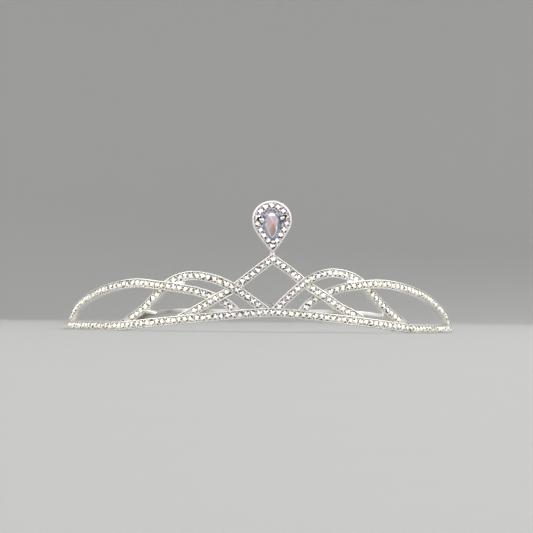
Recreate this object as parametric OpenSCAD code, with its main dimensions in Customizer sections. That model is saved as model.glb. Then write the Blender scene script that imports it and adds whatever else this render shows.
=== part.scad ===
// Tiara with pave ribbons and a pear-stone crest.
// The band stands on the floor with its front towards -Y. Places on it are given on its unrolled
// outer wall: along (arc length from the front centre, + to the right), up (height) and out
// (distance in front of the wall).

/* [Band] */
// Radius of the front of the band, to its outer face
front_r = 75; // [72:1:78]
// Radius of the side arms, which curve in behind the stone-set front
arm_r = 64; // [60:1:75]
// Length of each plain side arm
arm_length = 62; // [50:1:66]
// Height of the lower edge of the rail at the front centre
rail_arch = 5.4; // [4.6:0.1:5.8]
// Arc length from the front centre to where the arched lower edge meets the floor
rail_reach = 55; // [52:1:57]
// Height of the base rail
rail_w = 3; // [2.9:0.1:3.2]
// Height of an arm at its tip
arm_tip_w = 2.6; // [2.2:0.1:2.8]
// Thickness of an arm at its tip
arm_tip_t = 1.8; // [1.5:0.1:2]

/* [Ribbons] */
// Width of each ribbon
ribbon_w = 3.1; // [3:0.1:3.3]
// Thickness of rail and ribbons
ribbon_t = 2; // [1.9:0.1:2.2]
// Width of the plain rim on each side of the stone channel
rim_w = 0.35; // [0.3:0.05:0.4]
// Depth of the stone channel
channel_depth = 1.1; // [1.05:0.05:1.15]

/* [Small stones] */
// Diameter of the small stones
stone_d = 1.95; // [1.8:0.05:2]
// Distance from one small stone to the next
stone_pitch = 2.2; // [2.2:0.05:2.5]
// Number of small stones round the pear stone
halo_count = 16; // [12:1:17]

/* [Crest] */
// Radius of the round head of the crest's outline
crest_r = 6.9; // [6.8:0.1:7.2]
// Distance from the centre of that head down to the crest's tip
crest_tip = 11.3; // [11.1:0.1:11.5]
// Height of the centre of the crest's head above the floor
crest_z = 38.6; // [38.4:0.1:38.8]
// Lean of the crest to the left, in degrees
crest_lean = 2; // [0:0.5:3]
// Thickness of the crest's setting
crest_t = 2.4; // [2.2:0.1:2.8]
// Radius of the round head of the pear stone
pear_r = 3.2; // [3:0.1:3.3]
// Distance from the centre of that head down to the pear stone's tip
pear_tip = 7; // [6.8:0.1:7]

/* [Inner bar] */
// Height of the plain bar behind the rail
bar_w = 1.2; // [1:0.1:1.4]
// Thickness of that bar
bar_t = 1.2; // [1:0.1:1.4]

/* [Hidden] */

// Columns of a route's rows
ALONG = 0;
UP = 1;
OUT = 2;

// Rows are [along, up, out], from the foot to the apex and down to the other foot
peak_left = [[-33, 4.3, -0.3], [-26, 7.8, 0.2], [-19.5, 11.4, 0.6], [-13.2, 15.2, -0.6],
    [-7, 20, -0.2], [0, 25.3, 0]];
peak_right = [[0, 25.3, 0], [5.5, 21.6, -0.2], [11.8, 16.9, -0.6], [18.4, 12.5, 0.6],
    [24, 9, 0.2], [30, 6.4, -0.2], [33.5, 4.5, -0.3]];
// Rows are [along, up, out], from the rail's centre over the arch and down its strut
arch_left = [[-1.7, 7.2, -0.4], [-5, 9.5, 0], [-13.2, 15.1, 0.6], [-20, 18.1, 0.3], [-28.2, 19.4, 0],
    [-35, 18, -0.5], [-39.5, 15.3, -0.6], [-43.2, 11.8, -0.5], [-49, 6.9, -0.2], [-58, 2, -0.3]];
arch_right = [[1.1, 7.2, -0.4], [4.5, 11, 0], [11.8, 17.5, 0.6], [17, 20, 0.3], [22, 20.8, 0],
    [29.5, 19.5, -0.4], [35, 16.4, -0.6], [40, 11.9, -0.5], [47, 6.6, -0.2], [56.5, 2, -0.3]];
// Rows are [along, up, out], from the rail beside the centre out to the end of the rail
wing_left = [[-11.5, 6.1, -0.3], [-15.3, 9.4, -0.5], [-19.5, 11.5, -0.6], [-26, 13.7, -0.2], [-35, 15.3, 0.5],
    [-42, 16.1, 0.6], [-50, 16.8, 0.2], [-58.5, 16.1, 0], [-68, 14.3, 0], [-80.5, 10.8, 0], [-90, 7, 0],
    [-97.2, 1.9, -0.2]];
wing_right = [[9.5, 6, -0.3], [14, 10.7, -0.6], [18.4, 13.1, -0.7], [24, 15.3, -0.1], [31, 16.5, 0.5],
    [38, 17.2, 0.6], [45, 17.1, 0.2], [55, 15.7, 0], [66, 13.3, 0], [76, 9.9, 0], [86.5, 6, 0], [94.5, 1.9, -0.2]];
// Rows are [along, up, out] of the plain bar, which leaves the rail at the left and ends square
bar_route = [[-57, 2.3, -1.8], [-50, 4.5, -1.9], [-43.2, 6.3, -1.9], [-36, 7.2, -1.9], [-25, 7.3, -1.9],
    [0, 7.4, -1.9], [25, 7.4, -1.9], [36, 6.9, -1.9], [44, 6.1, -1.9]];
// Solder that fills the notches where ribbons part, a pair of [along, up, out, radius] for each
RADIUS = 3;
web_rows = [
    [[-31.9, 16.9, -1.1, 0.8], [-35, 16.7, -1.1, 0.6]],
    [[28.1, 17.8, -1.1, 0.8], [31.5, 17.6, -1.1, 0.6]],
    [[-46.4, 7, -1.2, 0.9], [-42.9, 6.3, -1.4, 0.5]],
    [[44.6, 7.2, -1.8, 0.6], [43.6, 6.3, -1.6, 0.5]]];
// Claws that hold the pear stone, as [angle round the head's centre, reach from it]
CLAW_ANGLE = 0;
CLAW_REACH = 1;
claw_rows = [[179, 3.58], [13, 3.6], [270, 7.06]];

// Arc length from the front centre to each end of the stone-set front
front_half = 98;
// Turn of the wall at that end, in degrees
front_turn = front_half / front_r * 180 / PI;
// Half the arc length over which the arched lower edge eases into the flat
rail_ease = 3.5;
// Distance from one ring of a ribbon to the next, and from one ring of an arm to the next
ring_step = 2.6;
arm_step = 4;
// Steps between two rows of a route when it is smoothed
smooth_steps = 8;
// How far a cutter runs clear of what it cuts
clear = 1;
// How far soldered pieces reach into each other
bite = 0.3;

// Small stone: radius, table and depths, and its height on the channel's rim
stone_r = stone_d / 2;
stone_sides = 8;
table_share = 0.58;
crown_h = 0.28;
pavilion_h = 0.78;
girdle_drop = 0.12;
// Room that a stone keeps from a ribbon that crosses over it
stone_room = 0.25;
line_room = ribbon_w / 2 + stone_r + stone_room;
// Points per ring of a ribbon's line when that room is measured
room_steps = 6;

// Rounded end of an arm, a disc with softened edges
tip_r = 1.7;
tip_edge = 0.5;

// Hairpin loop: radius to its wire, and the wire's own
loop_r = 0.95;
loop_wire = 0.4;
loop_rise = 0.45;

// Crest: how far it stands in front of the wall, its place, rim, stone channel and seat
crest_out = 0.5;
crest_along = -0.35;
crest_rim = 0.65;
halo_gap = 0.12;
halo_inset = crest_rim + halo_gap + stone_r;
halo_wall = 2 * (halo_inset - crest_rim) + crest_rim;
seat_gap = 0.2;
seat_depth = 1;
throat_inset = 0.45;

// Pear outlines: the angle at which the side arcs leave the head, and their steps
crest_turn = 30;
pear_turn = 20;
head_steps = 16;
side_steps = 5;

// Pear stone: how far it sits above the head's centre and the seat's floor, its table and depths
pear_lift = 0.35;
pear_raise = 0.45;
pear_table = 0.6;
pear_table_y = -1;
pear_crown = 0.9;
pear_pavilion = 1.9;

// Claws: root and bead radius, how far the bead reaches out and in, and its height on the crest
claw_root_r = 0.26;
claw_bead_r = 0.42;
claw_root = 0.3;
claw_outer = 0.15;
claw_inner = -0.35;
claw_rise = 0.55;

// Post that carries the crest, from the apex up
apex = peak_right[0];
post_w = 2.2;
post_t = 0.95;
post_low = apex[UP] - 0.8;
post_high = crest_z - crest_r;

// Facets round small cylinders and balls
small_fn = 16;
loop_fn = 12;
wire_fn = 6;
ball_fn = 8;

// Depth of the whole object, which sets the origin midway between claws and arm tips
arm_turn = front_turn + arm_length / arm_r * 180 / PI;
arm_end_y = front_r * (1 - cos(front_turn)) + arm_r * (cos(front_turn) - cos(arm_turn));
back_y = arm_end_y + cos(arm_turn) * arm_tip_t / 2 + tip_r;
front_y = -crest_out - claw_rise - claw_bead_r * cos(180 / ball_fn);
centre_y = (back_y + front_y) / 2;

// The wall
function heading(along) = abs(along) <= front_half
    ? along / front_r * 180 / PI
    : sign(along) * (front_turn + (abs(along) - front_half) / arm_r * 180 / PI);

function outward(along) = [sin(heading(along)), -cos(heading(along)), 0];
function forward(along) = [cos(heading(along)), sin(heading(along)), 0];

function wall_x(along) = abs(along) <= front_half
    ? front_r * sin(heading(along))
    : sign(along) * front_r * sin(front_turn) + arm_r * (sin(heading(along)) - sign(along) * sin(front_turn));

function wall_y(along) = abs(along) <= front_half
    ? front_r * (1 - cos(heading(along)))
    : front_r * (1 - cos(front_turn)) + arm_r * (cos(front_turn) - cos(heading(along)));

function wall_point(along, up, out) =
    [wall_x(along), wall_y(along) - centre_y, up] + out * outward(along);

// Height of the rail's lower edge: a gable that eases into the flat
function gable(a) = rail_arch * (1 - a / rail_reach);
function rail_low(along) = let(a = sqrt(along * along + 9) - 3)
    a < rail_reach - rail_ease ? gable(a)
    : a < rail_reach + rail_ease
    ? rail_arch / (4 * rail_ease * rail_reach) * pow(rail_reach + rail_ease - a, 2)
    : 0;

// A smooth curve through the rows of a route
function chord(route, i) = i == 0 ? 0 : chord(route, i - 1) + norm(route[i] - route[i - 1]);
function slope(route, t, i) = let(a = max(i - 1, 0), b = min(i + 1, len(route) - 1))
    (route[b] - route[a]) / (t[b] - t[a]);
function between(route, t, i, f) = let(h = t[i + 1] - t[i], g = 1 - f)
    route[i] * g * g * (1 + 2 * f) + route[i + 1] * f * f * (3 - 2 * f)
    + h * f * g * (slope(route, t, i) * g - slope(route, t, i + 1) * f);
function smooth(route) = let(t = [for (i = [0 : len(route) - 1]) chord(route, i)])
    [for (i = [0 : len(route) - 2], k = [0 : smooth_steps - (i < len(route) - 2 ? 1 : 0)])
        between(route, t, i, k / smooth_steps)];

// A line of points, and points at even steps along it
function line_lengths(line) = [for (i = 0, s = 0; i < len(line);
    s = s + (i < len(line) - 1 ? norm(line[i + 1] - line[i]) : 0), i = i + 1) s];
function at_length(line, s, at) = let(n = len(line) - 1)
    [for (c = [0 : len(line[0]) - 1]) lookup(at, [for (i = [0 : n]) [s[i], line[i][c]]])];
function evenly(line, count) = let(s = line_lengths(line))
    [for (k = [0 : count]) at_length(line, s, s[len(s) - 1] * k / count)];
function ringed(line) = evenly(line, ceil(line_lengths(line)[len(line) - 1] / ring_step));

// Unit direction along a line in the wall, and the stretch of a mitred ring there
function unit(v) = v / norm(v);
function flat_step(line, i) = unit([line[i + 1][ALONG] - line[i][ALONG], line[i + 1][UP] - line[i][UP]]);
function aim(line, i) = let(n = len(line) - 1)
    i == 0 ? flat_step(line, 0)
    : i == n ? flat_step(line, n - 1)
    : unit(flat_step(line, i - 1) + flat_step(line, i));
function mitre(line, i) = i == 0 || i == len(line) - 1 ? 1 : 1 / (flat_step(line, i) * aim(line, i));

// The lines of the ribbons
peak_line = concat(ringed(smooth(peak_left)), [for (i = [1 : len(ringed(smooth(peak_right))) - 1])
    ringed(smooth(peak_right))[i]]);
arch_lines = [ringed(smooth(arch_left)), ringed(smooth(arch_right))];
wing_lines = [ringed(smooth(wing_left)), ringed(smooth(wing_right))];
ribbon_lines = concat([peak_line], arch_lines, wing_lines);
rail_line = evenly([for (a = [-front_half : 1 : front_half]) [a, rail_low(a) + rail_w / 2, 0]],
    ceil(2 * front_half / ring_step));

// Sweeps: a section of [across, out] points, anticlockwise seen from the line's far end
function ring(line, i, section) = let(
    p = line[i],
    side = [-aim(line, i)[1], aim(line, i)[0]] * mitre(line, i))
    [for (c = section) wall_point(p[ALONG] + side[0] * c[0], p[UP] + side[1] * c[0], p[OUT] + c[1])];

function tube_faces(rings, sides) = concat(
    [[for (j = [0 : sides - 1]) j]],
    [[for (j = [0 : sides - 1]) rings * sides - 1 - j]],
    [for (i = [0 : rings - 2], j = [0 : sides - 1]) let(k = (j + 1) % sides)
        [i * sides + j, (i + 1) * sides + j, (i + 1) * sides + k]],
    [for (i = [0 : rings - 2], j = [0 : sides - 1]) let(k = (j + 1) % sides)
        [i * sides + j, (i + 1) * sides + k, i * sides + k]]);

module sweep(line, section) {
    n = len(line);
    polyhedron([for (i = [0 : n - 1]) each ring(line, i, section)], tube_faces(n, len(section)));
}

function box_section(w, back, front) = [[-w / 2, back], [w / 2, back], [w / 2, front], [-w / 2, front]];
function channel_section(w) = let(rim = w / 2 - rim_w)
    [[-w / 2, -ribbon_t], [w / 2, -ribbon_t], [w / 2, 0], [rim, 0], [rim, -channel_depth],
        [-rim, -channel_depth], [-rim, 0], [-w / 2, 0]];

// The space of the rail's channel, which every ribbon that lands on the rail leaves free
module rail_channel() {
    sweep(rail_line, box_section(rail_w - 2 * rim_w, -channel_depth, clear));
}

// Side arms, which taper from the rail to a rounded tip on the floor
function arm_ring(i, n, side) = let(
    f = i / n,
    along = side * (front_half - bite + (arm_length + bite) * f),
    high = rail_w + (arm_tip_w - rail_w) * f,
    back = ribbon_t + (arm_tip_t - ribbon_t) * f)
    [for (c = [[0, -back], [high, -back], [high, 0], [0, 0]]) wall_point(along, c[0], c[1])];

module arm(side) {
    n = ceil(arm_length / arm_step);
    order = side > 0 ? [0 : 1 : n] : [n : -1 : 0];
    polyhedron([for (i = order) each arm_ring(i, n, side)], tube_faces(n + 1, 4));
    along = side * (front_half + arm_length);
    hull() {
        translate(wall_point(along, tip_edge, -arm_tip_t / 2))
            cylinder(r = tip_r, h = arm_tip_w - 2 * tip_edge, $fn = small_fn);
        translate(wall_point(along, 0, -arm_tip_t / 2))
            cylinder(r = tip_r - tip_edge, h = arm_tip_w, $fn = small_fn);
    }
}

// Plain bar behind the rail
module inner_bar() {
    sweep(ringed(smooth(bar_route)), box_section(bar_w, -bar_t, 0));
}

// Small loop behind the centre, for a hairpin
module hairpin_loop() {
    translate(wall_point(0, rail_arch + rail_w + loop_rise, -ribbon_t - loop_wire + bite))
        rotate([90, 0, 0])
            rotate_extrude($fn = loop_fn)
                translate([loop_r, 0])
                    circle(r = loop_wire, $fn = wire_fn);
}

module solder_web(ends) {
    hull() {
        for (p = ends) {
            translate(wall_point(p[ALONG], p[UP], p[OUT]))
                sphere(r = p[RADIUS], $fn = ball_fn);
        }
    }
}

// Outline of a pear: a round head and two side arcs that meet at the tip
function pear_q(r, tip, turn) = (tip * tip - r * r) / (2 * (r - tip * sin(turn)));
function pear_side(r, q, turn, a) = [(q + r) * cos(a) - q * cos(turn), q * sin(turn) - (q + r) * sin(a)];
function pear_arc(r, q, turn) = let(tip_a = acos(q * cos(turn) / (q + r)))
    [for (k = [0 : side_steps]) pear_side(r, q, turn, tip_a + (turn - tip_a) * k / side_steps)];
function pear_outline(r, q, turn) = let(arc = pear_arc(r, q, turn))
    concat(
        arc,
        [for (k = [1 : head_steps - 1]) let(a = -turn + (180 + 2 * turn) * k / head_steps) [r * cos(a), r * sin(a)]],
        [for (k = [side_steps : -1 : 1]) [-arc[k][0], arc[k][1]]]);

crest_q = pear_q(crest_r, crest_tip, crest_turn);
stone_q = pear_q(pear_r, pear_tip, pear_turn);
function crest_outline(inset) = pear_outline(crest_r - inset, crest_q, crest_turn);
function stone_outline(inset) = [for (p = pear_outline(pear_r - inset, stone_q, pear_turn)) p + [0, pear_lift]];

// Stands the crest's own plane, x across and y up, on the wall, with z out to the front
module on_crest(out) {
    translate(wall_point(crest_along, crest_z, 0))
        rotate([90, 0, 0])
            rotate(crest_lean)
                translate([0, 0, out])
                    children();
}

module crest_setting() {
    on_crest(crest_out - crest_t)
        difference() {
            linear_extrude(crest_t)
                polygon(crest_outline(0));
            translate([0, 0, crest_t - channel_depth])
                linear_extrude(channel_depth + clear)
                    difference() {
                        polygon(crest_outline(crest_rim));
                        polygon(crest_outline(halo_wall));
                    }
            translate([0, 0, crest_t - seat_depth])
                linear_extrude(seat_depth + clear)
                    polygon(stone_outline(-seat_gap));
            translate([0, 0, -clear])
                linear_extrude(crest_t + 2 * clear)
                    polygon(stone_outline(throat_inset));
        }
}

module claw(row) {
    on_crest(crest_out)
        rotate(row[CLAW_ANGLE])
            translate([row[CLAW_REACH], 0, 0])
                hull() {
                    translate([claw_root, 0, -seat_depth])
                        sphere(r = claw_root_r, $fn = ball_fn);
                    for (x = [claw_inner, claw_outer]) {
                        translate([x, 0, claw_rise])
                            sphere(r = claw_bead_r, $fn = ball_fn);
                    }
                }
}

// Post behind the apex that carries the crest, narrower at its top
module crest_post() {
    hull() {
        for (p = [[post_low, post_w], [post_high, post_w / 2]]) {
            translate(wall_point(0, p[0], -ribbon_t + post_t / 2))
                cube([p[1], post_t, bite], center = true);
        }
    }
}

module frame() {
    color([0.82, 0.81, 0.8])
        union() {
            sweep(rail_line, channel_section(rail_w));
            difference() {
                for (line = ribbon_lines) {
                    sweep(line, channel_section(ribbon_w));
                }
                rail_channel();
            }
            for (side = [-1, 1]) {
                arm(side);
            }
            inner_bar();
            hairpin_loop();
            for (ends = web_rows) {
                solder_web(ends);
            }
            crest_setting();
            for (row = claw_rows) {
                claw(row);
            }
            crest_post();
        }
}

// Cut stones: a table, a crown and a pavilion of flat facets
function stone_points(centre, x, y, z) = concat(
    [for (k = [0 : stone_sides - 1]) let(a = 360 * k / stone_sides)
        centre + (x * cos(a) + y * sin(a)) * stone_r * table_share + z * crown_h],
    [for (k = [0 : stone_sides - 1]) let(a = 360 * k / stone_sides)
        centre + (x * cos(a) + y * sin(a)) * stone_r],
    [centre - z * pavilion_h]);

function cut_faces(n, start) = concat(
    [[for (k = [n - 1 : -1 : 0]) start + k]],
    [for (k = [0 : n - 1]) [start + k, start + (k + 1) % n, start + n + (k + 1) % n, start + n + k]],
    [for (k = [0 : n - 1]) [start + n + k, start + n + (k + 1) % n, start + 2 * n]]);

// A place is [centre, across, up, out] of a stone, and a field is one solid for each place
module stone_field(places) {
    count = 2 * stone_sides + 1;
    polyhedron(
        [for (p = places) each stone_points(p[0], p[1], p[2], p[3])],
        [for (i = [0 : len(places) - 1]) each cut_faces(stone_sides, i * count)]);
}

function wall_place(p, direction) = let(x = forward(p[ALONG]) * direction[0] + [0, 0, direction[1]])
    [wall_point(p[ALONG], p[UP], p[OUT] - girdle_drop), x, cross(outward(p[ALONG]), x), outward(p[ALONG])];

function reach_of(p, line) = min([for (q = line) norm([p[ALONG] - q[ALONG], p[UP] - q[UP]])]);
function is_clear(p, over) = len([for (line = over) if (reach_of(p, line) < line_room) 1]) == 0;

// Places of the stones at even steps along a line, left out where another ribbon lies over them
function row_places(line, over) = let(
    s = line_lengths(line),
    total = s[len(s) - 1],
    count = floor(total / stone_pitch),
    start = (total - (count - 1) * stone_pitch) / 2)
    [for (k = [0 : count - 1]) let(
        p = at_length(line, s, start + k * stone_pitch),
        q = at_length(line, s, start + k * stone_pitch + stone_r),
        o = at_length(line, s, start + k * stone_pitch - stone_r))
        if (is_clear(p, over)) wall_place(p, unit([q[ALONG] - o[ALONG], q[UP] - o[UP]]))];

module pear_stone() {
    outline = stone_outline(0);
    color([0.86, 0.88, 0.94])
        on_crest(crest_out - seat_depth + pear_raise)
            polyhedron(
                concat(
                    [for (p = outline) [p[0] * pear_table, pear_table_y + (p[1] - pear_table_y) * pear_table, pear_crown]],
                    [for (p = outline) [p[0], p[1], 0]],
                    [[0, pear_table_y, -pear_pavilion]]),
                cut_faces(len(outline), 0));
}

module halo_stones() {
    outline = crest_outline(halo_inset);
    path = concat(outline, [outline[0]]);
    s = line_lengths(path);
    spots = [for (k = [0 : halo_count - 1]) at_length(path, s, s[len(s) - 1] * k / halo_count)];
    color([0.93, 0.93, 0.95])
        on_crest(crest_out - girdle_drop)
            stone_field([for (p = spots) [[p[0], p[1], 0], [1, 0, 0], [0, 1, 0], [0, 0, 1]]]);
}

function fined(line) = evenly(line, room_steps * (len(line) - 1));

module rail_stones() {
    color([0.95, 0.94, 0.92])
        stone_field(row_places(rail_line, []));
}

module peak_stones() {
    color([0.95, 0.94, 0.92])
        stone_field(row_places(peak_line, [for (line = concat(arch_lines, [rail_line])) fined(line)]));
}

module arch_stones() {
    color([0.95, 0.94, 0.92])
        for (line = arch_lines) {
            stone_field(row_places(line, [for (over = concat(wing_lines, [rail_line])) fined(over)]));
        }
}

module wing_stones() {
    color([0.95, 0.94, 0.92])
        for (line = wing_lines) {
            stone_field(row_places(line, [for (over = [peak_line, rail_line]) fined(over)]));
        }
}

frame();
pear_stone();
halo_stones();
rail_stones();
peak_stones();
arch_stones();
wing_stones();
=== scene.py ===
"""Plated metal and cut stones for a pave tiara with a pear-stone crest.

The file is laid out as a Blender add-on and is run as a script. Lengths are in metres, and in
millimetres where a comment says so. Places on the band are given on its unrolled outer wall:
along (arc length from the front centre), up and out.
"""

import functools
import math

import bmesh
import bpy
import numpy as np
from mathutils import Matrix, Vector


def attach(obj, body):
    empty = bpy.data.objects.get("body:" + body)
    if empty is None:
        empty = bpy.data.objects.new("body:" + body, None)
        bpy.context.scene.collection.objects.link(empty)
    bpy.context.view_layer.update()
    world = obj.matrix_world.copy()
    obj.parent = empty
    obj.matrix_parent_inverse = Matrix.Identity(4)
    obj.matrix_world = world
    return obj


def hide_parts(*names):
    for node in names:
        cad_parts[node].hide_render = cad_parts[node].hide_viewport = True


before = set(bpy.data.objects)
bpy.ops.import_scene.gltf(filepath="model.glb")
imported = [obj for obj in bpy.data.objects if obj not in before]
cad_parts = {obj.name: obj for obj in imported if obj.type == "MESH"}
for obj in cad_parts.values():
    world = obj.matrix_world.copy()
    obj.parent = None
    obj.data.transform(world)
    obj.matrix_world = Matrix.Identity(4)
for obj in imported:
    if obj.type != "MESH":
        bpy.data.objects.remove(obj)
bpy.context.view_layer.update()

bl_info = {
    "name": "Pave Tiara",
    "version": (1, 0, 0),
    "blender": (4, 5, 0),
    "location": "3D View > Sidebar > Tiara",
    "description": "Plated metal and cut stones for a tiara of pave ribbons",
    "category": "Object",
}

MM = 0.001
SEED = 7

# Left and right ribbon of each kind, the same lines as the frame's: rows are [along, up, out] in
# millimetres
RIBBONS = {
    "peak": [
        [[-33, 4.3, -0.3], [-26, 7.8, 0.2], [-19.5, 11.4, 0.6], [-13.2, 15.2, -0.6],
         [-7, 20, -0.2], [0, 25.3, 0]],
        [[0, 25.3, 0], [5.5, 21.6, -0.2], [11.8, 16.9, -0.6], [18.4, 12.5, 0.6], [24, 9, 0.2],
         [30, 6.4, -0.2], [33.5, 4.5, -0.3]]],
    "arch": [
        [[-1.7, 7.2, -0.4], [-5, 9.5, 0], [-13.2, 15.1, 0.6], [-20, 18.1, 0.3], [-28.2, 19.4, 0],
         [-35, 18, -0.5], [-39.5, 15.3, -0.6], [-43.2, 11.8, -0.5], [-49, 6.9, -0.2],
         [-58, 2, -0.3]],
        [[1.1, 7.2, -0.4], [4.5, 11, 0], [11.8, 17.5, 0.6], [17, 20, 0.3], [22, 20.8, 0],
         [29.5, 19.5, -0.4], [35, 16.4, -0.6], [40, 11.9, -0.5], [47, 6.6, -0.2],
         [56.5, 2, -0.3]]],
    "wing": [
        [[-11.5, 6.1, -0.3], [-15.3, 9.4, -0.5], [-19.5, 11.5, -0.6], [-26, 13.7, -0.2],
         [-35, 15.3, 0.5], [-42, 16.1, 0.6], [-50, 16.8, 0.2], [-58.5, 16.1, 0], [-68, 14.3, 0],
         [-80.5, 10.8, 0], [-90, 7, 0], [-97.2, 1.9, -0.2]],
        [[9.5, 6, -0.3], [14, 10.7, -0.6], [18.4, 13.1, -0.7], [24, 15.3, -0.1],
         [31, 16.5, 0.5], [38, 17.2, 0.6], [45, 17.1, 0.2], [55, 15.7, 0], [66, 13.3, 0],
         [76, 9.9, 0], [86.5, 6, 0], [94.5, 1.9, -0.2]]]}
# Each kind of ribbon, and the kind that it dips under
DIPS_UNDER = {"peak": "arch", "arch": "wing", "wing": "peak"}
# The plain bar behind the rail, in the same way
BAR_ROUTE = [[-57, 2.3, -1.8], [-50, 4.5, -1.9], [-43.2, 6.3, -1.9], [-36, 7.2, -1.9],
             [-25, 7.3, -1.9], [0, 7.4, -1.9], [25, 7.4, -1.9], [36, 6.9, -1.9], [44, 6.1, -1.9]]
# Both ends of each web of solder: rows are [along, up, out, radius] in millimetres
SOLDER_WEBS = [[[-31.9, 16.9, -1.1, 0.8], [-35, 16.7, -1.1, 0.6]],
               [[28.1, 17.8, -1.1, 0.8], [31.5, 17.6, -1.1, 0.6]],
               [[-46.4, 7, -1.2, 0.9], [-42.9, 6.3, -1.4, 0.5]],
               [[44.6, 7.2, -1.8, 0.6], [43.6, 6.3, -1.6, 0.5]]]

# Arc length from the front centre to each end of the stone-set front
FRONT_HALF = 98 * MM
# The rail's arch: how widely its top is rounded, and half the length of its bend to the floor
RAIL_CROWN = 3 * MM
RAIL_EASE = 3.5 * MM
# Steps along a swept line, and between two rows of a route
RING_STEP = 0.55 * MM
ROUTE_STEPS = 10
ARM_STEPS = 90
# How far a piece reaches into the one that it is soldered to
BITE = 0.3 * MM
# Radii of a ribbon's edges: at its back, outside its rims and inside them, then of other pieces
BACK_EDGE, RIM_EDGE, LIP_EDGE = 0.3 * MM, 0.16 * MM, 0.06 * MM
ARM_EDGE, BAR_EDGE, POST_EDGE = 0.35 * MM, 0.22 * MM, 0.2 * MM
TOLERANCE = 0.01 * MM
# How far out the rail's channel is cut free of the ribbons
GROOVE_TOP = 1 * MM
# Half the stretch of ribbon that the peak's corner takes
CORNER_ROOM = 1.5 * MM
ARM_TIP_RADIUS = 1.7 * MM
ARM_TIP_EDGE = 0.5 * MM
LOOP_RADIUS, LOOP_WIRE, LOOP_LIFT = 0.95 * MM, 0.4 * MM, 0.45 * MM

# The crest's face: how far it stands out from the wall, and where along it
CREST_OUT = 0.5 * MM
CREST_ALONG = -0.35 * MM
# How far below the level of its centre a round head goes on before its sides begin
CREST_TURN = math.radians(30)
PEAR_TURN = math.radians(-8)
PEAR_LIFT = 0.35 * MM
# Round the setting's section, in millimetres: rows are [outline, inset, height over the face,
# thicknesses below it, finish], outline is 0 for the setting's and 1 for the pear stone's, and
# finish is 1 for the bed, speckled with tarnish and painted shade
SETTING = [[0, 0.25, 0, 1, 0], [0, 0.07, 0.07, 1, 0], [0, 0, 0.25, 1, 0], [0, 0, -0.2, 0, 0],
           [0, 0.03, -0.1, 0, 0], [0, 0.1, -0.03, 0, 0], [0, 0.2, 0, 0, 0], [0, 0.58, 0, 0, 0],
           [0, 0.65, -0.07, 0, 1], [0, 0.65, -0.38, 0, 1], [1, -0.12, -0.38, 0, 1],
           [1, -0.12, -1, 0, 1], [1, 0.45, -1, 0, 1], [1, 0.45, 0, 1, 0]]
# Claws on the crest's face: rows are [across, up, tilt in degrees, half length, half width] in
# millimetres, and how dark the painted reflection on a claw's rim is all round
CLAWS = [[-3.95, 0.3, -34, 1.5, 0.95, 0.74], [3.9, 0.8, 32, 1.55, 0.85, 0.9],
         [0.1, -7.5, 90, 0.8, 0.9, 0.74]]
# A claw's dome: rows are the share of its half length and of its height
DOME = [(0.25, 0), (0.85, 0), (1, 0.12), (0.97, 0.3), (0.86, 0.55), (0.66, 0.78), (0.4, 0.94),
        (0.12, 1)]
CLAW_FOOT, CLAW_HEIGHT = 0.1 * MM, 0.85 * MM
# How much narrower a claw is at its outer end, and how dark the painted reflection at that end of
# an upper claw is
CLAW_DROP, DARK_OUTER_END = 0.28, 1.24
LOWEST_UPPER_CLAW = -3 * MM
# Height of the frame's own claws above the crest's face
CLAW_TOP = (0.55 + 0.42 * math.cos(math.radians(22.5))) * MM
# The post: rows are the share of its height and its width in millimetres
POST = [(0, 2.2), (0.25, 1.9), (1, 1.1)]
POST_DEPTH, POST_FOOT = 0.95 * MM, 0.8 * MM

# The small stones: their pitch, how far a girdle lies below the rim, and how much one may lean
STONE_PITCH = 2.2 * MM
GIRDLE_DROP = 0.12 * MM
STONE_LEAN = 0.03
# Least distance of a tucked stone's centre from the line of a ribbon over it, from the rail's, and
# from another stone's centre, and the most that a stone may lie beside the line of its own row
TUCK_ROOM, RAIL_ROOM, STONE_ROOM = 1.25 * MM, 1.98 * MM, 1.92 * MM
ROW_ROOM = 0.8 * MM
# From a stone's centre to the place in its row that shows the row's direction
LOOK_AHEAD = 0.3 * MM
# A bed is bare of its tarnish and painted shade further than this from its nearest stone
BARE = 1.2 * MM
# A small stone's sectors, and the facets of any sector, the first four on the crown
SECTORS, SECTOR_FACETS, CROWN_FACETS = 8, 9, 4
# Facets of a small stone painted dark as a reflection of the room: how often they lie in every
# other sector, in how many sectors they lie, in how many more near the middle of the band, and how
# much of their painted brightness they keep
ALTERNATE, DARK_SECTORS, MORE_DARK, DARK_SHARE = 0.65, (1.9, 2.9), 1.5, (0.0, 0.15)
# Grain beads: rows are [radius, height] in millimetres, then how far each stands beside its row,
# and how far apart two neighbouring stones may be, in a row and in the halo
BEAD = [(0.3, -0.5), (0.3, 0.0), (0.27, 0.1), (0.18, 0.18), (0.05, 0.22)]
BEAD_SIDE = 0.83 * MM
ROW_REACH, HALO_REACH = 2.9 * MM, 3.2 * MM

# The pear stone: its sides, and on the crest's face, in millimetres, the point over its culet, the
# middle of the pinkish field of painted reflection under its table, and the darker painted kite in
# that field
PEAR_SIDES = 14
CULET, BLUSH_REFLECTION_MIDDLE = [-0.25, -1.85], [-0.25, -3.3]
KITE = [[0.37, -1.05], [1.15, -3.1], [-0.3, -5.6], [-0.95, -3.2]]
# Reach of its table, its star facets and its pavilion's facets, as shares of the girdle's reach
# from over the culet, and of the field of painted reflection, as a share of the table's from that
# field's middle
TABLE_SHARE, STAR_SHARE, LOW_SHARE, BLUSH_REFLECTION_SHARE = [0.62, 0.83], [0.80, 0.89], 0.35, 0.85

# The stretch of the band, to each side of MIDDLE, where coloured light is painted: the plating
# gets a softening painted tint of light and the stones show painted colours of the rainbow
MIDDLE = -5 * MM
MELLOW_REACH = 25 * MM
IRIS_REACH, IRIS_FADE = 31 * MM, 24 * MM
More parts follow.
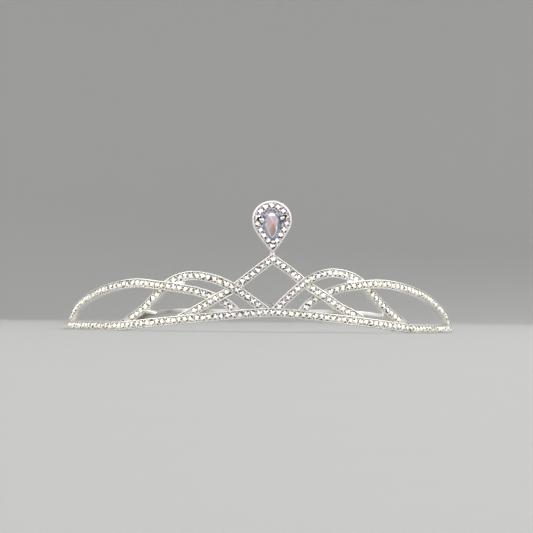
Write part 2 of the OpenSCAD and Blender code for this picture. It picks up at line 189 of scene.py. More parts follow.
# Painted tints of coloured light on the plating in that stretch, and on the crest above ROSE_LOW
MELLOW_LIGHT, ROSE_LIGHT = (0.885, 0.87, 0.86), (0.885, 0.83, 0.91)
ROSE_LOW, ROSE_FADE = 28 * MM, 3 * MM
# Painted tints of coloured light in the stones: the warm half, towards the band's ends, and the
# cool rainbow half, near its middle
STONE_TINTS = [
    (0.0, (1.0, 0.97, 0.85)), (0.15, (1.0, 0.99, 0.94)), (0.3, (0.97, 0.99, 0.98)),
    (0.45, (0.96, 0.95, 0.84)), (0.55, (1.0, 0.98, 1.0)), (0.7, (0.88, 0.83, 1.0)),
    (0.85, (0.86, 0.92, 1.0)), (1.0, (0.96, 0.84, 1.0))]
# The inner bar's plating is darker, a brownish grey, to the left of this place
DARKER_LEFT_END, DARKER_LEFT_FADE = -34 * MM, 6 * MM
BUMP_DEPTH = 0.05 * MM

# The floor: its radius, and the radius and the top of the rim that turns up from it
FLOOR_RADIUS, RIM_RADIUS, RIM_TOP = 1.6, 0.9, 2.1
# Rows are name, place, size, power and colour
LAMPS = [
    ("key", (-0.9, -1.75, 1.1), 1.7, 17, (0.985, 0.99, 0.965)),
    ("front", (0.15, -1.9, 0.52), 1.0, 4, (0.98, 0.97, 1)),
    ("fill", (1.5, -1.3, 1.1), 1.6, 14, (0.96, 0.98, 1)),
    ("left", (-1.9, -0.3, 1.5), 2.0, 40, (0.99, 1, 0.98)),
    ("right", (2.0, -0.2, 1.5), 2.0, 38, (0.99, 1, 0.98)),
    ("top", (0.1, 0.3, 1.9), 1.8, 6, (1, 1, 1)),
    ("rear", (0.5, 1.5, 0.9), 0.8, 6, (1, 1, 1))]
LAMP_AIM = Vector((0, -0.03, 0.02))
SKY, SKY_STRENGTH = (1.0, 0.99, 0.98, 1), 0.3
CAMERA_PLACE, CAMERA_LENS, CAMERA_SENSOR = (-0.04394, -0.65503, 0.005), 117.52, 36
CAMERA_YAW, CAMERA_PITCH, CAMERA_ROLL = (math.radians(v) for v in (4.0017, 1.6888, 0.6))


def sized(name, description, default):
    return bpy.props.FloatProperty(
        name=name, description=description, default=default, unit="LENGTH")


def coloured(name, description, default):
    return bpy.props.FloatVectorProperty(
        name=name, description=description, default=default, subtype="COLOR")


class TiaraBand(bpy.types.PropertyGroup):
    """Sizes of the band, its ribbons and arms."""

    front_radius: sized("Front radius", "Radius of the front's outer face", 0.075)
    arm_radius: sized("Arm radius", "Radius of the side arms", 0.064)
    arm_length: sized("Arm length", "Length of each side arm", 0.062)
    arm_tip_height: sized("Arm tip height", "Height of an arm at its tip", 0.0026)
    arm_tip_thickness: sized("Arm tip thickness", "Thickness of an arm at its tip", 0.0018)
    rail_arch: sized("Rail arch", "Height of the rail's lower edge at the centre", 0.0054)
    rail_reach: sized(
        "Rail reach", "Arc length from the centre to where the rail meets the floor", 0.055)
    rail_height: sized("Rail height", "Height of the base rail", 0.003)
    ribbon_width: sized("Ribbon width", "Width of each ribbon", 0.0031)
    thickness: sized("Thickness", "Thickness of rail and ribbons", 0.002)
    rim: sized("Rim", "Width of the rim beside the stones", 0.00035)
    bed_depth: sized(
        "Bed depth", "Depth below the rim of the metal between the stones", 0.00038)
    bar_height: sized("Bar height", "Height of the plain bar behind the rail", 0.0012)
    bar_thickness: sized("Bar thickness", "Thickness of that bar", 0.0012)


class TiaraCrest(bpy.types.PropertyGroup):
    """Sizes of the crest and its pear stone."""

    head_radius: sized("Head radius", "Radius of the round head of the crest", 0.0069)
    tip_reach: sized("Tip reach", "Distance from the head's centre to the tip", 0.0113)
    height: sized("Height", "Height of the head's centre above the floor", 0.0386)
    lean: bpy.props.FloatProperty(
        name="Lean", description="Lean of the crest to the left", default=math.radians(2),
        subtype="ANGLE")
    thickness: sized("Thickness", "Thickness of the setting", 0.0024)
    stone_radius: sized("Stone radius", "Radius of the pear stone's head", 0.0032)
    stone_tip: sized("Stone tip", "Distance from that head's centre to the stone's tip", 0.0074)


class TiaraFinish(bpy.types.PropertyGroup):
    """Colours of the metal, the stones and the stage."""

    plate: coloured("Plate", "Colour of the bright plating", (0.90, 0.885, 0.84))
    # Colour of the dark specks between the stones: partly tarnish, partly painted shade
    tarnish_and_shade: coloured("Tarnish", "Colour of the specks between the stones", (0.07, 0.05, 0.03))
    # Colour of a small stone's brightest painted reflection
    crystal: coloured("Crystal", "Colour of a bright facet", (0.97, 0.95, 0.91))
    # The pear stone's colours are painted reflections: its outer facets, and what shows under its
    # table
    pear: coloured(
        "Pear crystal", "Colour of the pear stone's outer facets", (0.25, 0.27, 0.34))
    blush_reflection: coloured("Blush", "Colour seen through the pear stone's table", (0.41, 0.325, 0.33))
    floor: coloured("Floor", "Colour of the floor and backdrop", (0.36, 0.358, 0.355))


class Value:
    """A socket whose arithmetic in Python adds Math nodes."""

    def __init__(self, finish, socket):
        self.finish, self.socket = finish, socket

    def join(self, operation, first, second):
        return self.finish.value("ShaderNodeMath", {"operation": operation}, {0: first, 1: second})

    def __add__(self, other):
        return self.join("ADD", self, other)

    def __sub__(self, other):
        return self.join("SUBTRACT", self, other)

    def __rsub__(self, other):
        return self.join("SUBTRACT", other, self)

    def __mul__(self, other):
        return self.join("MULTIPLY", self, other)

    def __truediv__(self, other):
        return self.join("DIVIDE", self, other)

    __radd__ = __add__
    __rmul__ = __mul__


class Finish:
    """A material that is being put together."""

    def __init__(self, name):
        self.material = bpy.data.materials.new(name)
        self.material.use_nodes = True
        self.tree = self.material.node_tree
        self.tree.nodes.clear()

    def node(self, kind, settings=None, inputs=None):
        """Adds a node: first its settings, a ramp's stops among them, then its links and values."""
        node = self.tree.nodes.new(kind)
        for name, value in (settings or {}).items():
            if name == "stops":
                ramp = node.color_ramp
                while len(ramp.elements) < len(value):
                    ramp.elements.new(1)
                for element, (place, colour) in zip(ramp.elements, value):
                    element.position = place
                    element.color = (*colour, 1)
            else:
                setattr(node, name, value)
        for name, value in (inputs or {}).items():
            socket = node.inputs[name]
            if isinstance(value, Value):
                self.tree.links.new(value.socket, socket)
            else:
                socket.default_value = (*value, 1) if socket.type == "RGBA" else value
        return node

    def value(self, kind, settings=None, inputs=None, output=0):
        return Value(self, self.node(kind, settings, inputs).outputs[output])

    def blend(self, factor, first, second, mode="MIX"):
        """Colours first and second, mixed."""
        return self.value("ShaderNodeMix", {"data_type": "RGBA", "blend_type": mode},
                          {0: factor, 6: first, 7: second}, 2)

    def ramp(self, factor, stops):
        return self.value("ShaderNodeValToRGB", {"stops": stops}, {"Fac": factor})

    def noise(self, scale, detail, roughness):
        place = self.value("ShaderNodeTexCoord", output="Object")
        return self.value("ShaderNodeTexNoise", None, {
            "Vector": place, "Scale": scale, "Detail": detail, "Roughness": roughness})

    def face_value(self, name):
        return self.value("ShaderNodeAttribute", {"attribute_name": name}, output="Fac")

    def place(self, axis):
        """Distance along X from the tiara's middle, or height Z above the floor."""
        place = self.value("ShaderNodeTexCoord", output="Object")
        return self.value("ShaderNodeSeparateXYZ", None, {"Vector": place}, axis)

    def clamped(self, value):
        return self.value("ShaderNodeClamp", None, {"Value": value})

    def painted_light_tint(self, colour):
        """A colour with painted coloured light: softened near the middle of the band, and rose on
        the crest.
        """
        off_middle = self.place("X") - MIDDLE
        towards_ends = self.clamped(off_middle * off_middle / MELLOW_REACH ** 2)
        on_crest = self.clamped((self.place("Z") - ROSE_LOW) / ROSE_FADE)
        tinted = self.blend(1.0, colour, self.blend(on_crest, MELLOW_LIGHT, ROSE_LIGHT), "MULTIPLY")
        return self.blend(towards_ends, tinted, colour)

    def bump(self, height, strength):
        return self.value("ShaderNodeBump", None, {
            "Height": height, "Strength": strength, "Distance": BUMP_DEPTH})

    def surface(self, inputs):
        shader = self.value("ShaderNodeBsdfPrincipled", None, inputs)
        self.node("ShaderNodeOutputMaterial", None, {"Surface": shader})


def made_once(recipe):
    """Turns a recipe for a surface's inputs into a function that makes its material only once."""

    @functools.cache
    @functools.wraps(recipe)
    def material():
        finish = Finish(recipe.__name__)
        finish.surface(recipe(finish, bpy.context.scene.tiara_finish))
        return finish.material

    return material


def channelled():
    """Materials of a piece with a stone channel: its own, and its bed's, with tarnish and painted
    shade.
    """
    return [bright_plate(), recess_plate()]


def shaded(colour, share):
    return tuple(c * share for c in colour)


# Metal


@made_once
def bright_plate(finish, look):
    """Polished silver-coloured plating, with faint wiping marks and cloudy spots."""
    cloud = finish.noise(scale=900, detail=4, roughness=0.6)
    grain = finish.noise(scale=5200, detail=2, roughness=0.5)
    colour = finish.blend(cloud, shaded(look.plate, 1.04), shaded(look.plate, 0.92))
    return {
        # A painted tint of coloured light near the middle of the band and on the crest
        "Base Color": finish.painted_light_tint(colour),
        "Metallic": 0.7,
        "Roughness": 0.14 + 0.14 * cloud,
        "Normal": finish.bump(grain, strength=0.03)}


@made_once
def dull_plate(finish, look):
    """The plating on the inner bar, satin, and darker, a brownish grey, at its left end."""
    patch = finish.noise(scale=110, detail=2, roughness=0.5)
    cloud = finish.noise(scale=1300, detail=4, roughness=0.6)
    darker_left = finish.ramp(patch, [
        (0.35, (0.22, 0.20, 0.18)), (0.5, (0.34, 0.31, 0.29)), (0.65, (0.46, 0.43, 0.41))])
    bright = finish.blend(0.3 * cloud, look.plate, shaded(look.plate, 0.5))
    off_end = finish.clamped((finish.place("X") - DARKER_LEFT_END) / DARKER_LEFT_FADE)
    return {
        "Base Color": finish.blend(off_end, darker_left, bright),
        "Metallic": 0.6,
        "Roughness": 0.26 + 0.3 * cloud,
        "Normal": finish.bump(cloud, strength=0.05)}


@made_once
def painted_shade_wire(finish, look):
    """Wire of the hairpin loop, in darker copies of the plating with a greyish green between:
    painted shade, as it lies behind the rail out of the light.
    """
    cloud = finish.noise(scale=1800, detail=3, roughness=0.6)
    colour = finish.ramp(cloud, [
        (0.35, shaded(look.plate, 0.2)), (0.5, (0.34, 0.35, 0.29)),
        (0.65, shaded(look.plate, 0.6))])
    return {"Base Color": colour, "Metallic": 0.9, "Roughness": 0.22 + 0.2 * cloud}


@made_once
def recess_plate(finish, look):
    """The plating in the bed between the stones, satin and speckled dark: partly tarnish, partly
    painted shade in the recess.
    """
    speck = finish.noise(scale=3000, detail=2, roughness=0.6)
    colour = finish.ramp(speck, [
        (0.45, look.tarnish_and_shade), (0.48, (0.20, 0.16, 0.11)), (0.5, (0.64, 0.60, 0.54)),
        (0.54, look.plate)])
    return {
        # A painted tint of coloured light near the middle of the band and on the crest
        "Base Color": finish.painted_light_tint(colour),
        "Metallic": 0.35,
        "Roughness": 0.3 + 0.25 * speck}


@made_once
def claw_plate(finish, look):
    """Polished claws, with a painted dark reflection round their outer ends and a painted highlight
    on their tops and inner ends.
    """
    cloud = finish.noise(scale=1500, detail=2, roughness=0.5)
    # The edge value paints a dark reflection round a claw's rim, and a highlight where it is low
    colour = finish.ramp(finish.face_value("edge") + 0.12 * (cloud - 0.5), [
        (0.36, shaded(look.plate, 1.05)), (0.46, (0.50, 0.47, 0.38)),
        (0.56, (0.05, 0.045, 0.04)), (0.9, (0.015, 0.015, 0.02))])
    return {"Base Color": colour, "Metallic": 0.9, "Roughness": 0.14 + 0.1 * cloud}


# Stones


@made_once
def small_crystal(finish, look):
    """Foil-backed clear crystal with painted reflections and a painted glow: each facet is painted
    bright, tinted or dark by its own number, and glows faintly in that colour.
    """
    facet = finish.face_value("facet")
    light = finish.ramp(facet, [
        (0.0, (0.04, 0.03, 0.03)), (0.12, (0.13, 0.10, 0.06)), (0.24, (0.42, 0.36, 0.26)),
        (0.4, (0.68, 0.64, 0.57)), (0.6, shaded(look.crystal, 0.92)), (1.0, look.crystal)])
    # A painted tint of coloured light, one for each stone
    tint = finish.ramp(finish.face_value("stone"), STONE_TINTS)
    colour = finish.blend(1.0 - 0.35 * facet, light, tint, "MULTIPLY")
    return {
        "Base Color": colour,
        "Metallic": 0.45,
        "Roughness": 0.10 + 0.12 * (1 - facet),
        "IOR": 1.5,
        "Coat Weight": finish.clamped(2.2 * facet),
        "Coat Roughness": 0.03,
        # A painted glow: each facet gives off a little light in its own colour
        "Emission Color": colour,
        "Emission Strength": 0.26}


@made_once
def pear_crystal(finish, look):
    """The pear stone in painted reflections: blue-grey outer facets, and a pinkish core under the
    table.
    """
    facet = finish.face_value("facet")
    outer = finish.ramp(facet, [
        (0.0, (0.02, 0.025, 0.06)), (0.25, (0.09, 0.11, 0.19)), (0.5, look.pear),
        (0.8, (0.47, 0.50, 0.59)), (1.0, (0.85, 0.88, 0.97))])
    under = finish.ramp(facet, [
        (0.0, (0.25, 0.13, 0.09)), (0.3, (0.36, 0.22, 0.18)), (0.6, look.blush_reflection),
        (0.85, (0.60, 0.53, 0.57)), (1.0, (0.84, 0.85, 0.93))])
    return {
        "Base Color": finish.blend(finish.face_value("zone"), outer, under),
        "Metallic": 0.3,
        "Roughness": 0.1 + 0.1 * (1 - facet),
        "IOR": 1.5,
        "Coat Weight": 0.2,
        "Coat Roughness": 0.05}


# Lines and sections


def unit(vectors):
    """Vectors at length 1."""
    return vectors / np.linalg.norm(vectors, axis=-1, keepdims=True)


def circle(count):
    """Angles at even steps round a circle."""
    return np.linspace(0, 2 * math.pi, count + 1)[:-1]


def level_ring(count, radius, height, start=0.0):
    """Points at even steps round a level circle."""
    a = start + circle(count)
    return np.stack([radius * np.cos(a), radius * np.sin(a), np.full(count, height)], axis=-1)


def together(*values):
    """Numbers and arrays as arrays of one shape."""
    return np.broadcast_arrays(*(np.asarray(value, float) for value in values))


def distances(points):
    """Distance of each point from the first, along the line through them."""
    return np.concatenate([[0], np.cumsum(np.linalg.norm(np.diff(points, axis=0), axis=1))])


def places_at(where, s, line):
    """Places at distances where along a line whose points are at distances s."""
    return np.stack([np.interp(where, s, values) for values in line.T], axis=-1)


class Wall:
    """The unrolled outer wall of the band: one arc along the front, and one along each arm."""

    def __init__(self):
        band = bpy.context.scene.tiara_band
        self.front_r, self.arm_r, self.centre_y = band.front_radius, band.arm_radius, 0
        self.turn = FRONT_HALF / self.front_r
        # The origin lies half way from the crest's claws to the arms' tips
        tip = self.point(FRONT_HALF + band.arm_length, 0, -band.arm_tip_thickness / 2)
        self.centre_y = (tip[1] + ARM_TIP_RADIUS - CREST_OUT - CLAW_TOP) / 2

    def heading(self, along):
        front = np.clip(along, -FRONT_HALF, FRONT_HALF)
        return front / self.front_r + (along - front) / self.arm_r

    def outward(self, along):
        h = self.heading(along)
        return np.stack([np.sin(h), -np.cos(h), np.zeros_like(h)], axis=-1)

    def point(self, along, up, out):
        along, up, out = together(along, up, out)
        h = self.heading(along)
        tighter = np.where(np.abs(along) > FRONT_HALF, self.front_r - self.arm_r, 0)
        x = (self.front_r - tighter) * np.sin(h) + np.sign(along) * tighter * math.sin(self.turn)
        y = self.front_r - (self.front_r - tighter) * np.cos(h) - tighter * math.cos(self.turn)
        return np.stack([x, y - self.centre_y, up], axis=-1) + out[..., None] * self.outward(along)


def smooth_route(rows):
    """A smooth curve through the rows of a route."""
    rows = np.array(rows, float) * MM
    t, number = distances(rows), np.arange(len(rows))
    before, after = np.maximum(number - 1, 0), np.minimum(number + 1, number[-1])
    slopes = (rows[after] - rows[before]) / (t[after] - t[before])[:, None]
    f = np.arange(ROUTE_STEPS)[:, None] / ROUTE_STEPS
    g = 1 - f
    parts = [rows[i] * g * g * (1 + 2 * f) + rows[i + 1] * f * f * (3 - 2 * f)
             + (t[i + 1] - t[i]) * f * g * (slopes[i] * g - slopes[i + 1] * f)
             for i in number[:-1]]
    return np.vstack([*parts, rows[-1:]])


def evenly(line):
    """Points at even steps along a line."""
    s = distances(line)
    return places_at(np.linspace(0, s[-1], max(2, math.ceil(s[-1] / RING_STEP)) + 1), s, line)


def evenly_round(outline, count):
    """Points at even steps round a closed outline, from its first."""
    closed = np.vstack([outline, outline[:1]])
    s = distances(closed)
    return places_at(np.arange(count) * s[-1] / count, s, closed)


def rounded(corners, radii, steps=3):
    """A polygon with its corners rounded, each by its own radius."""
    corners, points = [np.array(c, float) for c in corners], []
    for i, (corner, radius) in enumerate(zip(corners, radii)):
        if radius == 0:
            points.append(corner)
            continue
        before, after = corners[i - 1] - corner, corners[(i + 1) % len(corners)] - corner
        a, b = (corner + radius * v / np.linalg.norm(v) for v in (before, after))
        for f in np.linspace(0, 1, steps + 1):
            points.append((1 - f) ** 2 * a + 2 * f * (1 - f) * corner + f * f * b)
    return np.array(points)


def box_section(low, high, back, front, radius=0.0):
    """A box of [across, out] points, its four corners rounded."""
    return rounded([[low, back], [high, back], [high, front], [low, front]], [radius] * 4)


def sweep(wall, line, section):
    """Rings of a section of [across, out] points along a line on the wall."""
    steps = unit(np.diff(line[:, :2], axis=0))
    aims = unit(np.vstack([steps[:1], steps[:-1] + steps[1:], steps[-1:]]))
    stretch = np.ones(len(line))
    stretch[1:-1] = 1 / np.einsum("ij,ij->i", steps[1:], aims[1:-1])
    side = np.stack([-aims[:, 1], aims[:, 0]], axis=-1) * stretch[:, None]
    return wall.point(line[:, :1] + side[:, :1] * section[:, 0],
                      line[:, 1:2] + side[:, 1:] * section[:, 0], line[:, 2:] + section[:, 1])


# Pieces


def ring_faces(n, m, closed=False):
    """Quads between n rings of m points, and where closed from the last ring to the first."""
    return [[i * m + j, (i + 1) % n * m + j, (i + 1) % n * m + (j + 1) % m, i * m + (j + 1) % m]
            for i in range(n if closed else n - 1) for j in range(m)]


class Form:
    """Points and faces of a piece while it is built."""

    def __init__(self):
        self.points, self.faces, self.finishes, self.values = [], [], [], {}
        self.count = 0

    def add(self, points, faces, finishes=0, **values):
        """Adds faces on points. finishes and values are one for each face, or one for all."""
        points = np.asarray(points, float).reshape(-1, 3)
        self.points.append(points)
        self.faces += [[self.count + i for i in face] for face in faces]
        self.finishes += list(np.broadcast_to(finishes, len(faces)))
        for name, value in values.items():
            self.values.setdefault(name, []).extend(np.broadcast_to(value, len(faces)))
        self.count += len(points)

    def tube(self, rings, finishes=0, closed=False, **values):
        """Adds rings of points as a tube with flat ends, or closed from its last to its first."""
        rings = np.asarray(rings)
        n, m = rings.shape[:2]
        faces = ring_faces(n, m, closed)
        kinds = list(np.broadcast_to(finishes, (n, m)).ravel()[:len(faces)])
        if not closed:
            faces += [list(range(m))[::-1], list(range((n - 1) * m, n * m))]
            kinds += [0, 0]
        self.add(rings, faces, kinds, **values)

    def mesh(self, name):
        mesh = bpy.data.meshes.new(name)
        mesh.from_pydata(np.concatenate(self.points).tolist(), [], self.faces)
        mesh.polygons.foreach_set("material_index", np.array(self.finishes, np.int32))
        for label, value in self.values.items():
            attribute = mesh.attributes.new(label, "FLOAT", "FACE")
            attribute.data.foreach_set("value", np.array(value, np.float32))
        body = bmesh.new()
        body.from_mesh(mesh)
        bmesh.ops.recalc_face_normals(body, faces=body.faces)
        body.to_mesh(mesh)
        body.free()
        return mesh


def finished(form, name, materials, smooth=None, nodes=("frame",)):
    """Puts a form or mesh in the scene as a piece of the tiara that stands for CAD nodes.

    smooth is the angle in degrees between two faces from which their edge stays sharp."""
    mesh = form.mesh(name) if isinstance(form, Form) else form
    piece = bpy.data.objects.new(name, mesh)
    bpy.context.scene.collection.objects.link(piece)
    for material in materials[len(mesh.materials):]:
        mesh.materials.append(material)
    if smooth:
        mesh.shade_smooth()
        mesh.set_sharp_from_angle(angle=math.radians(smooth))
    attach(piece, "root")
    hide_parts(*nodes)


def cut_away(mesh, cutter):
    """mesh without the space of cutter, both closed."""
    body, tool = (bpy.data.objects.new("cut", item) for item in (mesh, cutter))
    for item in (body, tool):
        bpy.context.scene.collection.objects.link(item)
    step = body.modifiers.new("cut", "BOOLEAN")
    step.operation, step.solver, step.object = "DIFFERENCE", "MANIFOLD", tool
    bpy.context.view_layer.update()
    result = bpy.data.meshes.new_from_object(
        body.evaluated_get(bpy.context.evaluated_depsgraph_get()))
    if not len(result.polygons):
        raise RuntimeError("the cut left nothing")
    for item in (body, tool):
        bpy.data.objects.remove(item)
    return result


# Band and ribbons


def rail_line():
    """Middle of the rail: an arch over the floor, which bends down to it on each side."""
    band = bpy.context.scene.tiara_band
    step = FRONT_HALF / round(FRONT_HALF / RING_STEP)
    along = np.arange(-FRONT_HALF, FRONT_HALF + RING_STEP / 2, step)
    a = np.sqrt(along ** 2 + RAIL_CROWN ** 2) - RAIL_CROWN
    slope, left = band.rail_arch / band.rail_reach, band.rail_reach - a
    bend = slope * np.maximum(left + RAIL_EASE, 0) ** 2 / (4 * RAIL_EASE)
    low = np.where(left > RAIL_EASE, slope * left, bend)
    return np.stack([along, low + band.rail_height / 2, np.zeros_like(along)], axis=-1)


def ribbon_lines():
    """Middle lines of the ribbons of each kind. The peak's are one line without a fold in it."""
    lines = {kind: [evenly(smooth_route(rows)) for rows in pair] for kind, pair in RIBBONS.items()}
    left, right = lines["peak"]
    apex = left[-1]
    sides = [side[np.linalg.norm(side - apex, axis=1) > CORNER_ROOM] for side in (left, right)]
    lines["peak"] = [np.vstack([sides[0], apex, sides[1]])]
    return lines


def channel_section(width):
    """Section of a ribbon with its stone channel, and the finish of each of its sides."""
    band = bpy.context.scene.tiara_band
    half, inner, back, bed = width / 2, width / 2 - band.rim, -band.thickness, -band.bed_depth
    section = rounded(
        [[-half, back], [half, back], [half, 0], [inner, 0], [inner, bed], [-inner, bed],
         [-inner, 0], [-half, 0]],
        [BACK_EDGE, BACK_EDGE, RIM_EDGE, LIP_EDGE, 0, 0, LIP_EDGE, RIM_EDGE])
    across, out = section.T
    # The sunk bed takes the finish speckled with tarnish and painted shade
    sunk = ((np.abs(across) < inner + TOLERANCE) & (out < -LIP_EDGE - TOLERANCE)
            & (out > bed - TOLERANCE))
    return section, (sunk | np.roll(sunk, -1)).astype(int)


class TIARA_OT_band(bpy.types.Operator):
    """Base rail and the two side arms"""

    bl_idname = "tiara.band"
    bl_label = "Rail and arms"

    def execute(self, context):
        band, wall, form = context.scene.tiara_band, Wall(), Form()
        section, finishes = channel_section(band.rail_height)
        form.tube(sweep(wall, rail_line(), section), finishes)
        radius, high = ARM_TIP_RADIUS, band.arm_tip_height
        profile = rounded([[0, 0], [radius, 0], [radius, high], [0, high]],
                          [0, ARM_TIP_EDGE, ARM_TIP_EDGE, 0], steps=4)
        # The tip's ends are flat, from half way in
        profile[[0, -1], 0] = (radius - ARM_TIP_EDGE) / 2
        reach, middle = FRONT_HALF + band.arm_length, -band.arm_tip_thickness / 2
        for side in (-1, 1):
            form.tube([self.arm_ring(band, wall, side, share)
                       for share in np.linspace(0, 1, ARM_STEPS)])
            tip = wall.point(side * reach, 0, middle)
            form.tube([tip + level_ring(40, *row) for row in profile])
        finished(form, "rail_and_arms", channelled(), 35)
        return {"FINISHED"}

    def arm_ring(self, band, wall, side, share):
        """Points round an arm at a share of its length."""
        high = band.rail_height + (band.arm_tip_height - band.rail_height) * share
        thick = band.thickness + (band.arm_tip_thickness - band.thickness) * share
        return wall.point(side * (FRONT_HALF - BITE + (band.arm_length + BITE) * share),
                          *box_section(0, high, -thick, 0, ARM_EDGE).T)


class TIARA_OT_ribbons(bpy.types.Operator):
    """Ribbons of the peak, the arches and the wings"""

    bl_idname = "tiara.ribbons"
    bl_label = "Ribbons"

    def execute(self, context):
        band, wall, groove = context.scene.tiara_band, Wall(), Form()
        section, finishes = channel_section(band.ribbon_width)
        # The rail's channel stays open where a ribbon meets it
        half = band.rail_height / 2 - band.rim
        groove.tube(sweep(wall, rail_line(), box_section(-half, half, -band.bed_depth, GROOVE_TOP)))
        stones = np.array([place[0] for group in stone_rows(wall) for places in group.values()
                           for place in places])
        for kind, lines in ribbon_lines().items():
            form = Form()
            for line in lines:
                # The bed has its specks of tarnish and painted shade near a stone, and is bright
                # where no stone lies in it
                away = np.linalg.norm(wall.point(*line.T)[:, None] - stones, axis=2).min(axis=1)
                form.tube(sweep(wall, line, section),
                          np.where(away[:, None] < BARE, finishes, 0))
            name = kind + "_ribbons"
            mesh, cutter = form.mesh(name), groove.mesh("groove")
            for material in channelled():
                mesh.materials.append(material)
                cutter.materials.append(material)
            finished(cut_away(mesh, cutter), name, channelled(), 35)
        return {"FINISHED"}


def round_bar(a, b, a_radius, b_radius, turns=24, levels=7):
    """Rings of points round a bar with round ends, from a to b, which may narrow on the way."""
    ahead, length = unit(b - a), np.linalg.norm(b - a)
    side = unit(np.cross(ahead, [0, 0, 1]))
    up = np.cross(side, ahead)
    slope = math.asin((a_radius - b_radius) / length)
    # The ends stop just short of a point
    end = math.pi / 2 - 0.08
    stops = [(a, a_radius, u) for u in np.linspace(-end, slope, levels)]
    stops += [(b, b_radius, u) for u in np.linspace(slope, end, levels)]
    t = circle(turns)
    rim = np.outer(np.cos(t), side) + np.outer(np.sin(t), up)
    return [centre + radius * (math.sin(u) * ahead + math.cos(u) * rim)
            for centre, radius, u in stops]


class TIARA_OT_solder_work(bpy.types.Operator):
    """Plain inner bar, webs of solder and the hairpin loop"""

    bl_idname = "tiara.solder_work"
    bl_label = "Inner bar, solder and loop"

    def execute(self, context):
        band, wall = context.scene.tiara_band, Wall()
        bar, webs, loop = Form(), Form(), Form()
        half = band.bar_height / 2
        bar.tube(sweep(wall, evenly(smooth_route(BAR_ROUTE)),
                       box_section(-half, half, -band.bar_thickness, 0, BAR_EDGE)))
        finished(bar, "inner_bar", [dull_plate()], 40)

        for a, b in np.array(SOLDER_WEBS) * MM:
            webs.tube(round_bar(wall.point(*a[:3]), wall.point(*b[:3]), a[3], b[3]))
        finished(webs, "solder_webs", [bright_plate()], 60)

        centre = wall.point(0, band.rail_arch + band.rail_height + LOOP_LIFT,
                            BITE - band.thickness - LOOP_WIRE)
        a = circle(14)
        reach, deep = LOOP_RADIUS + LOOP_WIRE * np.cos(a), LOOP_WIRE * np.sin(a)
        loop.tube([centre + np.stack([reach * math.cos(t), deep, reach * math.sin(t)], axis=-1)
                   for t in circle(48)], closed=True)
        finished(loop, "hairpin_loop", [painted_shade_wire()], 60)
        return {"FINISHED"}


# Crest


def pear_outline(radius, tip, turn, inset):
    """Outline of a pear, drawn in by inset: a round head and two side arcs, from the tip round."""
    # The side arcs' radius, less the head's
    spread = (tip * tip - radius * radius) / (2 * (radius - tip * math.sin(turn)))
    radius = radius - inset
    tip_turn = math.acos(spread * math.cos(turn) / (spread + radius))
    a = np.linspace(tip_turn, turn, 21)
    side = np.stack([(spread + radius) * np.cos(a) - spread * math.cos(turn),
                     spread * math.sin(turn) - (spread + radius) * np.sin(a)], axis=-1)
    h = np.linspace(-turn, math.pi + turn, 73)[1:-1]
    head = radius * np.stack([np.cos(h), np.sin(h)], axis=-1)
    return np.vstack([side, head, (side * [-1, 1])[:0:-1]])


class CrestPlane:
    """The crest's own plane: x across, y up from the head's centre, z out from its face."""

    def __init__(self):
        self.crest = bpy.context.scene.tiara_crest
        self.base = Wall().point(CREST_ALONG, self.crest.height, 0)

    def point(self, x, y, z):
        x, y, z = together(x, y, z)
        c, s = math.cos(self.crest.lean), math.sin(self.crest.lean)
        return self.base + np.stack([x * c - y * s, -(z + CREST_OUT), x * s + y * c], axis=-1)

    def setting_outline(self, inset):
        return pear_outline(self.crest.head_radius, self.crest.tip_reach, CREST_TURN, inset)

    def stone_outline(self, inset):
        outline = pear_outline(self.crest.stone_radius, self.crest.stone_tip, PEAR_TURN, inset)
        return outline + [0, PEAR_LIFT]


